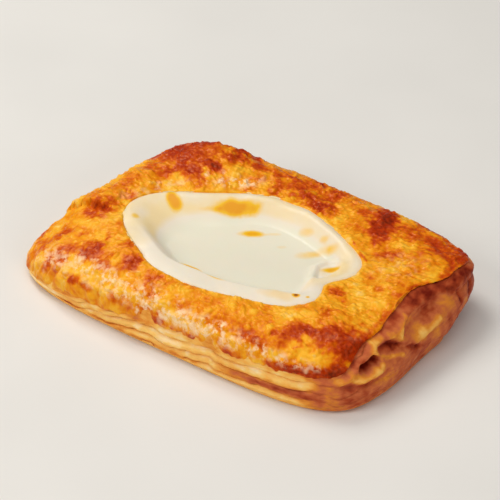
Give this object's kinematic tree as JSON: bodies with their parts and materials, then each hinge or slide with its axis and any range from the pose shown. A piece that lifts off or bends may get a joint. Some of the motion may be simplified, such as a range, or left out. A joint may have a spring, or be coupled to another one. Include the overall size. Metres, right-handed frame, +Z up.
{
  "type": "danish pastry",
  "caption": "Rectangular baked laminated pastry with flaky sides, one open folded end and an oval well of set white sauce, lying on its flat base.",
  "frame": {"origin": "middle of the flat base, under the middle of the pastry's box", "axes": "+X along the length towards the end with the open folds, +Y across the width, +Z up"},
  "size_m": [0.1334, 0.0858, 0.0232],
  "materials": {
    "baked_crust": "golden baked pastry with an egg glaze, browned in patches",
    "set_sauce": "glossy set white sauce, faintly cream"
  },
  "bodies": {
    "root": {"crust": "baked_crust", "sauce": "set_sauce"}
  },
  "joints": []
}
